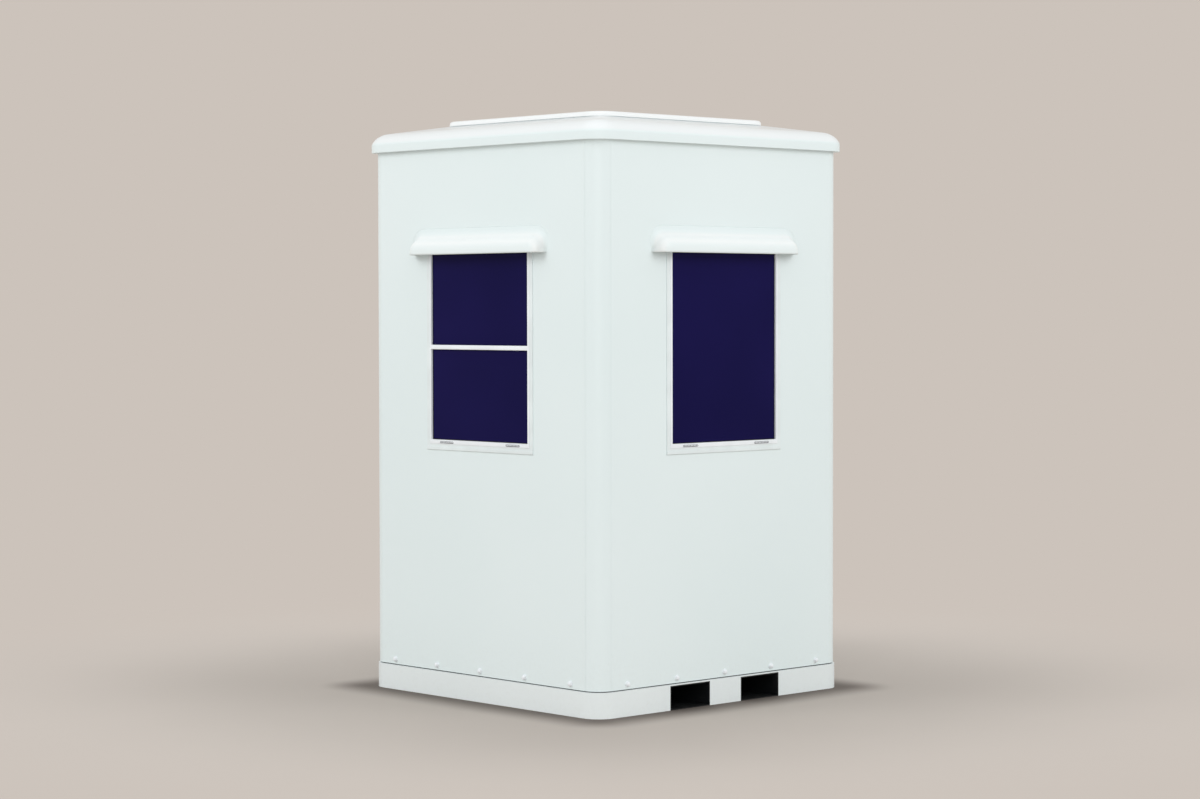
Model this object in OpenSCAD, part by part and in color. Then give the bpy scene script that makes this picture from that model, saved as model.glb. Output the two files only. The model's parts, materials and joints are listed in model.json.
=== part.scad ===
// Square guard booth with rounded corners, moulded in white glass-fibre sandwich.
// It stands on a base with two fork pockets and has a window in three walls and a door in the fourth.
// Millimetres, +Z up, origin on the ground under the middle of the booth. The front faces -Y.

/* [Cabin] */
// Width of the cabin over its walls, the same both ways
cabin_w = 1500; // [1300:10:1900]
// Height of the roof edge's underside above the ground
eaves_h = 2410; // [2300:10:2800]
// Thickness of the sandwich walls
wall_t = 50; // [35:1:65]
// Outside radius of the upright corners
corner_r = 84; // [70:1:150]

/* [Base] */
// Height of the base beams
base_h = 110; // [90:1:180]
// Width of the base beams
base_t = 90; // [65:1:120]
// How far the base stands proud of the walls
base_proud = 6; // [2:1:20]
// Thickness of the rubber seal between base and walls
seal_t = 4; // [2:1:10]
// How far the seal lies back from the wall face
seal_set_back = 6; // [3:1:15]
// Thickness of the floor deck
deck_t = 40; // [25:1:60]
// Clear width of a fork pocket
pocket_w = 230; // [160:5:300]
// Height of base that is left above a fork tube
pocket_cover = 6; // [3:1:20]
// Distance between the centres of the two fork pockets
pocket_pitch = 430; // [350:5:600]
// Wall thickness of the fork tubes
tube_t = 4; // [3:0.5:8]

/* [Windows] */
// Width of a window frame over its flange
window_w = 700; // [500:10:900]
// Height of a window frame over its flange
window_h = 876; // [600:1:950]
// Distance from the roof edge's underside down to the top of the window frames
window_drop = 431; // [200:1:600]
// Face width of a window frame
frame_face = 28; // [24:1:45]
// How far window and door frames stand proud of the walls
frame_proud = 3; // [2:1:20]
// How far a frame's flange laps over the wall round its opening
frame_lap = 15; // [8:1:20]
// Thickness of the glass
glass_t = 6; // [4:1:8]
// How far the glass lies behind the face of its frame
glass_set_back = 8; // [4:1:14]
// Height of the meeting rail between the panes of the front window
rail_h = 20; // [14:1:40]
// Depth of the meeting rail
rail_d = 26; // [20:1:45]
// Height of the sill strip under a window frame
sill_h = 15; // [8:1:40]
// How far the sill strip stands proud of the wall
sill_proud = 5; // [4:1:20]

/* [Hoods] */
// How far a hood reaches past the frame below it on each side
hood_reach = 85; // [40:5:120]
// Height of a hood
hood_h = 107; // [80:1:140]
// How far a hood stands out from the wall
hood_d = 60; // [50:1:110]
// Radius of a hood's rounded edges
hood_r = 45; // [25:1:49]
// Thickness of a hood's shell
hood_t = 6; // [3:1:10]
// How far a hood comes down over the top of the frame below it
hood_drop = 33; // [10:1:38]

/* [Roof] */
// How far the roof cap overhangs the walls
roof_overhang = 28; // [15:1:60]
// Height of the roof cap at its edge
cap_h = 84; // [60:1:140]
// How far in from the edge the roof cap's rolled rim starts
rim_w = 57; // [30:1:70]
// How far down the roof cap's edge the rolled rim comes
rim_h = 48; // [20:1:55]
// How far the roof rises from its rim to the crown
roof_rise = 33; // [10:1:60]
// Distance from the roof's edge to the foot of its rise
rise_inset = 60; // [58:1:100]
// Width of the raised crown on the roof
crown_w = 1044; // [700:2:1200]
// Radius of the crown's corners in plan
crown_r = 90; // [45:1:150]
// Height of the recessed curb that carries the crown's lid
curb_h = 2; // [2:1:60]
// How far the curb lies back from the lid's edge
curb_set_back = 5; // [4:1:40]
// Thickness of the crown's lid
lid_h = 21; // [15:1:60]
// Radius of the lid's rounded upper edge
lid_nose_r = 12; // [5:1:14]

/* [Door] */
// Width of the door leaf
door_w = 700; // [600:5:760]
// Distance from the roof edge's underside down to the top of the door frame
door_drop = 308; // [200:1:400]
// Thickness of the door leaf
door_t = 40; // [30:1:45]
// Gap between the leaf and its frame
door_gap = 4; // [3:0.5:8]
// Face width of the door frame
jamb_face = 40; // [30:1:55]
// How far the frame's stop reaches behind the leaf
stop_reach = 14; // [8:1:20]
// Height of the threshold above the floor deck
threshold_rise = 4; // [2:1:10]
// Width of the glass that shows in the door
door_light_w = 440; // [300:5:480]
// How deep the door's glass sits in the leaf
door_bite = 10; // [6:1:20]

/* [Door fittings] */
// Number of hinges
hinge_count = 3; // [2:1:4]
// Length of a hinge
hinge_l = 100; // [80:1:130]
// Radius of a hinge's barrel
hinge_r = 9; // [6:0.5:12]
// Width of one hinge flap
flap_w = 30; // [24:1:36]
// Thickness of a hinge flap
flap_t = 3; // [2:0.5:5]
// Distance of the outer hinges' middles from the leaf's ends
hinge_inset = 190; // [120:5:300]
// Height of the door handle above the ground
handle_z = 1050; // [950:5:1090]
// Distance of the handle's spindle from the leaf's edge
backset = 55; // [40:1:60]
// Width of the handle's back plate
plate_w = 42; // [32:1:55]
// Height of the handle's back plate
plate_h = 220; // [160:5:260]
// Thickness of the handle's back plate
plate_t = 8; // [5:1:12]
// Radius of the handle's lever
lever_r = 9; // [7:0.5:11]
// Length of the lever
lever_l = 125; // [100:5:150]
// How far the lever's axis stands off the back plate
lever_stand_off = 30; // [24:1:30]

/* [Hidden] */
$fn = 96;

// Turn about +Z that brings a piece made for the front to another side
FRONT = 0;
RIGHT = 90;
BACK = 180;
LEFT = 270;

// Turn of the bars that trim the hips of the roof
HIP = 45;

// Working clearances and overruns
fit_gap = 0.4;
cut_over = 20;

// Share of a frame's body that the glass sits in
bite_share = 0.5;

// Largest share of a piece's height or depth that its rounded edge may take
nose_share = 0.9;

// Outline of the roof's rolled rim from the lip to the top, as shares of its width and height
rim_shares = [[0, 0], [0.07, 0.17], [0.16, 0.33], [0.28, 0.5], [0.49, 0.7], [0.74, 0.89], [1, 1]];

// Colours
gelcoat = [0.90, 0.93, 0.93];
base_white = [0.88, 0.90, 0.91];
frame_white = [0.92, 0.92, 0.94];
navy_glass = [0.10, 0.09, 0.28];
dark_steel = [0.12, 0.13, 0.13];
rubber = [0.08, 0.08, 0.08];
deck_grey = [0.45, 0.46, 0.46];
steel = [0.72, 0.72, 0.73];

// Levels
wall_z = base_h + seal_t;
deck_z = base_h + deck_t;
cap_top = eaves_h + cap_h;
roof_top = cap_top + roof_rise;
curb_top = roof_top + curb_h;

// Plan sizes
half = cabin_w / 2;
inner_half = half - wall_t;
flat_half = half - corner_r;
base_w = cabin_w + 2 * base_proud;
base_inner = base_w / 2 - base_t;
cap_w = cabin_w + 2 * roof_overhang;
cap_r = corner_r + roof_overhang;
cap_straight = cap_w - 2 * cap_r;
rise_foot_w = cap_w - 2 * rise_inset;
rise_top_w = crown_w - curb_set_back;
hip_foot_w = sqrt(2) * cap_straight + 2 * (cap_r - rise_inset);
hip_top_w = hip_foot_w * rise_top_w / rise_foot_w;
tube_w = pocket_w + 2 * tube_t;
tube_h = base_h - pocket_cover;

// Window sizes
opening_w = window_w - 2 * frame_lap;
opening_h = window_h - 2 * frame_lap;
sight_w = window_w - 2 * frame_face;
sight_h = window_h - 2 * frame_face;
glass_bite = (frame_face - frame_lap) * bite_share;
window_top = eaves_h - window_drop;
window_z = window_top - window_h;
window_mid = window_top - window_h / 2;
frame_y = -half - frame_proud;
glass_y = frame_y + glass_set_back;
rail_bite = rail_h / 4;

// Door sizes
threshold_top = deck_z + threshold_rise;
door_frame_top = eaves_h - door_drop;
doorway_top = door_frame_top - jamb_face;
doorway_w = door_w + 2 * door_gap;
door_frame_w = doorway_w + 2 * jamb_face;
leaf_z = threshold_top + door_gap;
leaf_top = doorway_top - door_gap;
door_h = leaf_top - leaf_z;
door_opening_w = door_frame_w - 2 * frame_lap;
door_opening_top = door_frame_top - frame_lap;
door_glass_y = frame_y + (door_t - glass_t) / 2;
hinge_x = -door_w / 2 - door_gap / 2;
handle_x = door_w / 2 - backset;

// Shared shapes

// A square in plan, w wide, with its corners rounded to r
module rounded_square(w, r) {
    square([w, w - 2 * r], center = true);
    square([w - 2 * r, w], center = true);
    for (x = [-1, 1], y = [-1, 1])
        translate([x * (w / 2 - r), y * (w / 2 - r)])
            circle(r);
}

// A bar section w wide and h high whose two upper corners are rounded to nose
module nosed_section(w, h, nose) {
    translate([-w / 2, 0])
        square([w, h - nose]);
    translate([-w / 2 + nose, 0])
        square([w - 2 * nose, h]);
    for (x = [-1, 1])
        intersection() {
            translate([x * (w / 2 - nose), h - nose])
                circle(nose);
            translate([-w / 2, h - nose])
                square([w, nose]);
        }
}

// A square slab with corners of radius r in plan and an upper edge rounded to nose
module nosed_slab(w, r, h, wanted_nose) {
    nose = min(wanted_nose, nose_share * h, nose_share * r);
    straight = w - 2 * r;
    for (turn = [FRONT, RIGHT])
        rotate([0, 0, turn])
            translate([0, straight / 2, 0])
                rotate([90, 0, 0])
                    linear_extrude(straight)
                        nosed_section(w, h, nose);
    for (turn = [FRONT, RIGHT, BACK, LEFT])
        rotate([0, 0, turn])
            translate([straight / 2, straight / 2, 0])
                rotate_extrude(angle = RIGHT)
                    intersection() {
                        nosed_section(2 * r, h, nose);
                        square([r, h]);
                    }
}

// A box from its lowest to its highest corner
module span(low, high) {
    translate(low)
        cube(high - low);
}

// A box with rounded ends, front and top, that stands out d from a wall at y = 0 and is flat below
module brow(w, d, h, wanted_r) {
    r = min(wanted_r, nose_share * d, nose_share * h);
    intersection() {
        rotate([90, 0, 0])
            linear_extrude(d)
                nosed_section(w, h, r);
        linear_extrude(h)
            mirror([0, 1, 0])
                nosed_section(w, d, r);
        translate([-w / 2, 0, 0])
            rotate([90, 0, 90])
                linear_extrude(w)
                    intersection() {
                        nosed_section(2 * d, h, r);
                        translate([-d, 0])
                            square([d, h]);
                    }
    }
}

// A flat ring in the wall's plane, between two rectangles on the same middle, from y0 back to y1
module upright_ring(outer_w, outer_h, inner_w, inner_h, mid_z, y0, y1) {
    difference() {
        span([-outer_w / 2, y0, mid_z - outer_h / 2], [outer_w / 2, y1, mid_z + outer_h / 2]);
        span(
            [-inner_w / 2, y0 - cut_over, mid_z - inner_h / 2],
            [inner_w / 2, y1 + cut_over, mid_z + inner_h / 2]
        );
    }
}

// A pane w wide and h high with its middle at mid_z, and the same grown by a gap as a groove for it
module pane(w, h, mid_z, y, gap = 0) {
    span(
        [-w / 2 - gap, y - gap, mid_z - h / 2 - gap],
        [w / 2 + gap, y + glass_t + gap, mid_z + h / 2 + gap]
    );
}

// Base

// The base's outline between two distances along Y, as high as the beams
module base_ring(y0, y1) {
    linear_extrude(base_h)
        intersection() {
            difference() {
                rounded_square(base_w, corner_r + base_proud);
                square(2 * base_inner, center = true);
            }
            translate([-base_w, y0])
                square([2 * base_w, y1 - y0]);
        }
}

module base_front() {
    color(base_white)
        base_ring(-base_w, -base_inner);
}

module base_back() {
    color(base_white)
        base_ring(base_inner, base_w);
}

// A side beam, notched for the fork tubes
module base_side() {
    color(base_white)
        difference() {
            intersection() {
                base_ring(-base_inner, base_inner);
                span([0, -base_w, 0], [base_w, base_w, base_h]);
            }
            for (y = [-1, 1])
                translate([0, y * pocket_pitch / 2, 0])
                    span(
                        [0, -tube_w / 2 - fit_gap, -cut_over],
                        [base_w, tube_w / 2 + fit_gap, tube_h + fit_gap]
                    );
        }
}

module base_right() {
    base_side();
}

module base_left() {
    rotate([0, 0, BACK])
        base_side();
}

// A rectangular tube through the base for one fork
module fork_tube(side) {
    color(dark_steel)
        translate([0, side * pocket_pitch / 2, 0])
            difference() {
                span([-base_w / 2, -tube_w / 2, 0], [base_w / 2, tube_w / 2, tube_h]);
                span(
                    [-base_w / 2 - cut_over, -pocket_w / 2, tube_t],
                    [base_w / 2 + cut_over, pocket_w / 2, tube_h - tube_t]
                );
            }
}

module base_seal() {
    color(rubber)
        translate([0, 0, base_h])
            linear_extrude(seal_t)
                difference() {
                    rounded_square(cabin_w - 2 * seal_set_back, corner_r - seal_set_back);
                    rounded_square(2 * inner_half, corner_r - wall_t);
                }
}

module floor_deck() {
    color(deck_grey)
        translate([0, 0, base_h])
            linear_extrude(deck_t)
                rounded_square(2 * (inner_half - fit_gap), corner_r - wall_t - fit_gap);
}

// Walls

// The flat part of a wall from one distance along X to another, between two levels
module wall_slab(x0, x1, z0, z1) {
    span([x0, -half, z0], [x1, -inner_half, z1]);
}

module window_wall() {
    color(gelcoat)
        difference() {
            wall_slab(-flat_half, flat_half, wall_z, eaves_h);
            span(
                [-opening_w / 2, -half - cut_over, window_z + frame_lap],
                [opening_w / 2, -inner_half + cut_over, window_top - frame_lap]
            );
        }
}

module front_wall() {
    rotate([0, 0, FRONT])
        window_wall();
}

module right_wall() {
    rotate([0, 0, RIGHT])
        window_wall();
}

module left_wall() {
    rotate([0, 0, LEFT])
        window_wall();
}

// Beside the doorway; seen from inside, the hinges are on the right
module back_wall_right() {
    color(gelcoat)
        rotate([0, 0, BACK])
            wall_slab(-flat_half, -door_opening_w / 2, wall_z, eaves_h);
}

module back_wall_left() {
    color(gelcoat)
        rotate([0, 0, BACK])
            wall_slab(door_opening_w / 2, flat_half, wall_z, eaves_h);
}

module back_wall_header() {
    color(gelcoat)
        rotate([0, 0, BACK])
            wall_slab(-door_opening_w / 2, door_opening_w / 2, door_opening_top, eaves_h);
}

// The upright corner between the front and the next side, turned to its place
module corner(turn) {
    color(gelcoat)
        rotate([0, 0, turn])
            translate([flat_half, -flat_half, wall_z])
                linear_extrude(eaves_h - wall_z)
                    intersection() {
                        difference() {
                            circle(corner_r);
                            circle(corner_r - wall_t);
                        }
                        translate([0, -corner_r])
                            square(corner_r);
                    }
}

// Roof

// Half of the roof cap's section, with its middle at x = 0 and its edge at x = reach
module rim_section(reach) {
    polygon(concat(
        [[0, 0], [reach, 0]],
        [for (s = rim_shares) [reach - s[0] * rim_w, cap_h - rim_h + s[1] * rim_h]],
        [[0, cap_h]]
    ));
}

// A bar across the roof whose two long sides slope from its foot to its top
module rise_bar(foot_w, top_w) {
    translate([0, rise_foot_w, 0])
        rotate([90, 0, 0])
            linear_extrude(2 * rise_foot_w)
                polygon([
                    [-foot_w / 2, -cut_over], [foot_w / 2, -cut_over], [foot_w / 2, 0],
                    [top_w / 2, roof_rise], [-top_w / 2, roof_rise], [-foot_w / 2, 0],
                ]);
}

// A square cap with a rolled rim, and on it the low rise that crossed bars share
module roof_cap() {
    color(gelcoat) {
        translate([0, 0, eaves_h])
            for (turn = [FRONT, RIGHT, BACK, LEFT])
                rotate([0, 0, turn]) {
                    translate([0, cap_straight / 2, 0])
                        rotate([90, 0, 0])
                            linear_extrude(cap_straight)
                                rim_section(cap_w / 2);
                    translate([cap_straight / 2, cap_straight / 2, 0])
                        rotate_extrude(angle = RIGHT)
                            rim_section(cap_r);
                }
        translate([0, 0, cap_top])
            intersection() {
                rise_bar(rise_foot_w, rise_top_w);
                rotate([0, 0, RIGHT])
                    rise_bar(rise_foot_w, rise_top_w);
                rotate([0, 0, HIP])
                    rise_bar(hip_foot_w, hip_top_w);
                rotate([0, 0, RIGHT + HIP])
                    rise_bar(hip_foot_w, hip_top_w);
            }
    }
}

module crown_curb() {
    color(gelcoat)
        translate([0, 0, roof_top])
            linear_extrude(curb_h)
                rounded_square(crown_w - 2 * curb_set_back, crown_r - curb_set_back);
}

module crown_lid() {
    color(gelcoat)
        translate([0, 0, curb_top])
            nosed_slab(crown_w, crown_r, lid_h, lid_nose_r);
}

// Hoods

// A hollow hood, open below, over a frame of the given width and top
module hood(frame_w, frame_top) {
    hood_w = frame_w + 2 * hood_reach;
    color(gelcoat)
        translate([0, -half, frame_top - hood_drop])
            difference() {
                brow(hood_w, hood_d, hood_h, hood_r);
                translate([0, cut_over, -cut_over])
                    brow(
                        hood_w - 2 * hood_t,
                        hood_d - hood_t + cut_over,
                        hood_h - hood_t + cut_over,
                        hood_r - hood_t
                    );
            }
}

module front_hood() {
    hood(window_w, window_top);
}

module right_hood() {
    rotate([0, 0, RIGHT])
        hood(window_w, window_top);
}

module left_hood() {
    rotate([0, 0, LEFT])
        hood(window_w, window_top);
}

module door_hood() {
    rotate([0, 0, BACK])
        hood(door_frame_w, door_frame_top);
}

// Windows

// A flange on the wall's face and a body through the opening, before the groove for the glass is cut
module frame_ring() {
    upright_ring(window_w, window_h, sight_w, sight_h, window_mid, frame_y, -half);
    upright_ring(
        opening_w - 2 * fit_gap, opening_h - 2 * fit_gap, sight_w, sight_h, window_mid, -half, -inner_half
    );
}

module meeting_rail() {
    span(
        [-sight_w / 2, frame_y, window_mid - rail_h / 2],
        [sight_w / 2, frame_y + rail_d, window_mid + rail_h / 2]
    );
}

// One pane for the whole frame
module single_pane(gap = 0) {
    pane(sight_w + 2 * glass_bite, sight_h + 2 * glass_bite, window_mid, glass_y, gap);
}

// One of the two panes above and below the meeting rail
module half_pane(side, gap = 0) {
    edge = window_mid + side * (sight_h / 2 + glass_bite);
    rail_edge = window_mid + side * (rail_h / 2 - rail_bite);
    pane(sight_w + 2 * glass_bite, abs(edge - rail_edge), (edge + rail_edge) / 2, glass_y, gap);
}

module front_window_frame() {
    color(frame_white)
        difference() {
            union() {
                frame_ring();
                meeting_rail();
            }
            for (side = [-1, 1])
                half_pane(side, fit_gap);
        }
}

module front_glass_upper() {
    color(navy_glass)
        half_pane(1);
}

module front_glass_lower() {
    color(navy_glass)
        half_pane(-1);
}

module side_window_frame() {
    color(frame_white)
        difference() {
            frame_ring();
            single_pane(fit_gap);
        }
}

module right_window_frame() {
    rotate([0, 0, RIGHT])
        side_window_frame();
}

module left_window_frame() {
    rotate([0, 0, LEFT])
        side_window_frame();
}

module right_glass() {
    color(navy_glass)
        rotate([0, 0, RIGHT])
            single_pane();
}

module left_glass() {
    color(navy_glass)
        rotate([0, 0, LEFT])
            single_pane();
}

// A strip under a window frame, bevelled along its lower edge
module sill() {
    bevel = sill_proud / 2;
    color(frame_white)
        translate([-window_w / 2, -half, window_z])
            rotate([90, 0, 90])
                linear_extrude(window_w)
                    polygon([
                        [0, 0], [-sill_proud, 0], [-sill_proud, bevel - sill_h],
                        [bevel - sill_proud, -sill_h], [0, -sill_h],
                    ]);
}

module front_sill() {
    sill();
}

module right_sill() {
    rotate([0, 0, RIGHT])
        sill();
}

module left_sill() {
    rotate([0, 0, LEFT])
        sill();
}

// Door, made as if it were in the front and turned to the back

// Jambs and head, with a stop behind the leaf
module door_frame() {
    stop_y = frame_y + door_t + fit_gap;
    color(frame_white)
        rotate([0, 0, BACK])
            difference() {
                union() {
                    span([-door_frame_w / 2, frame_y, wall_z], [door_frame_w / 2, -half, door_frame_top]);
                    span(
                        [-door_opening_w / 2 + fit_gap, -half, wall_z],
                        [door_opening_w / 2 - fit_gap, -inner_half, door_opening_top - fit_gap]
                    );
                }
                span(
                    [-doorway_w / 2, frame_y - cut_over, wall_z - cut_over],
                    [doorway_w / 2, stop_y, doorway_top]
                );
                span(
                    [stop_reach - doorway_w / 2, frame_y - cut_over, wall_z - cut_over],
                    [doorway_w / 2 - stop_reach, cut_over - inner_half, doorway_top - stop_reach]
                );
            }
}

// Closes the doorway below the leaf, between the jambs and in front of the stops
module door_threshold() {
    stop_y = frame_y + door_t;
    color(steel)
        rotate([0, 0, BACK])
            span(
                [fit_gap - doorway_w / 2, frame_y, wall_z],
                [doorway_w / 2 - fit_gap, stop_y, threshold_top]
            );
}

module door_pane(gap = 0) {
    pane(door_light_w + 2 * door_bite, sight_h + 2 * door_bite, window_mid, door_glass_y, gap);
}

module door_leaf() {
    color(gelcoat)
        rotate([0, 0, BACK])
            difference() {
                span([-door_w / 2, frame_y, leaf_z], [door_w / 2, frame_y + door_t, leaf_top]);
                span(
                    [-door_light_w / 2, frame_y - cut_over, window_mid - sight_h / 2],
                    [door_light_w / 2, frame_y + door_t + cut_over, window_mid + sight_h / 2]
                );
                door_pane(fit_gap);
            }
}

module door_glass() {
    color(navy_glass)
        rotate([0, 0, BACK])
            door_pane();
}

// A barrel over the gap, with one flap on the frame and one on the leaf
module hinge() {
    span([-flap_w, -flap_t, -hinge_l / 2], [flap_w, 0, hinge_l / 2]);
    translate([0, -flap_t, -hinge_l / 2])
        intersection() {
            cylinder(h = hinge_l, r = hinge_r);
            span([-hinge_r, -hinge_r, 0], [hinge_r, flap_t, hinge_l]);
        }
}

module door_hinges() {
    pitch = (door_h - 2 * hinge_inset) / (hinge_count - 1);
    color(steel)
        rotate([0, 0, BACK])
            for (i = [0 : hinge_count - 1])
                translate([hinge_x, frame_y, leaf_z + hinge_inset + i * pitch])
                    hinge();
}

// Back plate, spindle and lever
module door_handle() {
    lever_y = -plate_t - lever_stand_off;
    color(steel)
        rotate([0, 0, BACK])
            translate([handle_x, frame_y, handle_z]) {
                span([-plate_w / 2, -plate_t, -plate_h / 2], [plate_w / 2, 0, plate_h / 2]);
                translate([0, -plate_t, 0])
                    rotate([90, 0, 0])
                        cylinder(h = lever_stand_off, r = lever_r);
                translate([-lever_l, lever_y, 0])
                    rotate([0, 90, 0])
                        cylinder(h = lever_l, r = lever_r);
                for (x = [-lever_l, 0])
                    translate([x, lever_y, 0])
                        sphere(lever_r);
            }
}

base_front();
base_back();
base_right();
base_left();
fork_tube(-1);  // fork_tube_front
fork_tube(1);  // fork_tube_back
base_seal();
floor_deck();
front_wall();
right_wall();
left_wall();
back_wall_left();
back_wall_right();
back_wall_header();
corner(LEFT);  // corner_front_left
corner(FRONT);  // corner_front_right
corner(BACK);  // corner_back_left
corner(RIGHT);  // corner_back_right
roof_cap();
crown_curb();
crown_lid();
front_hood();
right_hood();
left_hood();
door_hood();
front_window_frame();
front_glass_upper();
front_glass_lower();
front_sill();
right_window_frame();
right_glass();
right_sill();
left_window_frame();
left_glass();
left_sill();
door_frame();
door_threshold();
door_leaf();
door_glass();
door_hinges();
door_handle();
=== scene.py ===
"""Looks of the guard booth: white gelcoat, powder-coated frames, navy glass and the small fittings.

Everything is in metres in the booth's own frame: +Z up, the front faces -Y, the right side +X.
Pieces of a side are made as if for the front and turned about +Z to their place.
"""

import json
import math

import bmesh
import bpy
from mathutils import Matrix, Vector

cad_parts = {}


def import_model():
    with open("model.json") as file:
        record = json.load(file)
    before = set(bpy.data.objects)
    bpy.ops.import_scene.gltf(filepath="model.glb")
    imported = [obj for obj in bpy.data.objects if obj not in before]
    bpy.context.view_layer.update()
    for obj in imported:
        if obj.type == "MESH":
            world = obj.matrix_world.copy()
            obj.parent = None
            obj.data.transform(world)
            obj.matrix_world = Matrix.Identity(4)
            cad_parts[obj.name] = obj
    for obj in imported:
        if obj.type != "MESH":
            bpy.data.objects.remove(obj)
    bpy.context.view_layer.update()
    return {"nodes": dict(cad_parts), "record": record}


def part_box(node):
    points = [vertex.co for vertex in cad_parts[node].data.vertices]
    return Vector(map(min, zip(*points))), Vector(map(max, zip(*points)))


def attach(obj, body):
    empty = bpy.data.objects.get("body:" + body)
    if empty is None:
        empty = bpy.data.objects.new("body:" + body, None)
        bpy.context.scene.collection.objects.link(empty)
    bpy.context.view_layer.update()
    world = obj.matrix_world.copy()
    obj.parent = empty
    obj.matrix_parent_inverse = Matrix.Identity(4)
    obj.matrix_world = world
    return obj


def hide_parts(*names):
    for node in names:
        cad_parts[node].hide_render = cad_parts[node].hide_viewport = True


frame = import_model()
nodes = frame["nodes"]

# Turn of each side about +Z, in degrees
FRONT, RIGHT, BACK, LEFT = 0, 90, 180, 270
WINDOW_SIDES = (("front", FRONT), ("right", RIGHT), ("left", LEFT))

# Camera, fitted to the photograph, with its angles in degrees
CAMERA_PLACE = (9.1886, -8.6312, 1.7067)
CAMERA_YAW = 46.905
CAMERA_PITCH = -1.853
CAMERA_ROLL = -0.097
CAMERA_LENS_MM = 83.79
SENSOR_WIDTH_MM = 36.0

# Colours in sRGB from 0 to 255
GELCOAT_PALE = (231, 242, 243)
GELCOAT_DULL = (228, 240, 241)
# The roof's rim, the crown's lid and the hoods have whiter copies of the gelcoat: a painted highlight
# on their rounded upper faces
ROOF_HIGHLIGHT_PALE = (239, 243, 244)
ROOF_HIGHLIGHT_DULL = (236, 241, 242)
LID_HIGHLIGHT_PALE = (243, 245, 245)
LID_HIGHLIGHT_DULL = (240, 243, 243)
HOOD_HIGHLIGHT_PALE = (245, 249, 249)
HOOD_HIGHLIGHT_DULL = (242, 247, 247)
BASE_PALE = (233, 240, 241)
BASE_DULL = (229, 237, 238)
DUST = (206, 206, 200)
FRAME_WHITE = (232, 241, 242)
BEAD_WHITE = (244, 249, 253)
NAVY = (22, 18, 71)
NAVY_DEEP = (18, 15, 64)
RUBBER_DARK = (18, 18, 19)
RUBBER_PALE = (36, 36, 37)
FORK_BLACK = (24, 27, 29)
FORK_SCUFFED = (66, 68, 70)
VINYL_GREY = (150, 152, 153)
VINYL_FLECK = (186, 188, 188)
STEEL_DARK = (176, 177, 179)
STEEL_PALE = (208, 209, 210)
PLASTIC_DARK = (84, 86, 94)
PLASTIC_PALE = (112, 114, 122)
PALE_FLOOR = (204, 195, 187)
# Colour of the floor's painted shadow beside the base
FLOOR_PAINTED_SHADOW = (46, 36, 30)


def linear(srgb):
    """An sRGB colour from 0 to 255 as a linear RGBA colour, by the sRGB standard's curve."""
    shares = [c / 255 for c in srgb]
    lit = [s / 12.92 if s < 0.04045 else ((s + 0.055) / 1.055) ** 2.4 for s in shares]
    return (*lit, 1.0)


# Places

def side_box(node, turn):
    """A node's box as if its side of the booth were the front."""
    back = Matrix.Rotation(math.radians(-turn), 4, "Z")
    ends = [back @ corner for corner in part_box(node)]
    return tuple(Vector(pick(pair) for pair in zip(*ends)) for pick in (min, max))


# Distances from the booth's middle to its outer faces, and the height of the roof's lower edge
WALL_FACE = -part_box("front_wall")[0].y
HOOD_FACE = -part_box("front_hood")[0].y
FRAME_FACE = -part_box("front_window_frame")[0].y
GLASS_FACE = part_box("right_glass")[1].x
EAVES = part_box("roof_cap")[0].z


# Node helpers

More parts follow.
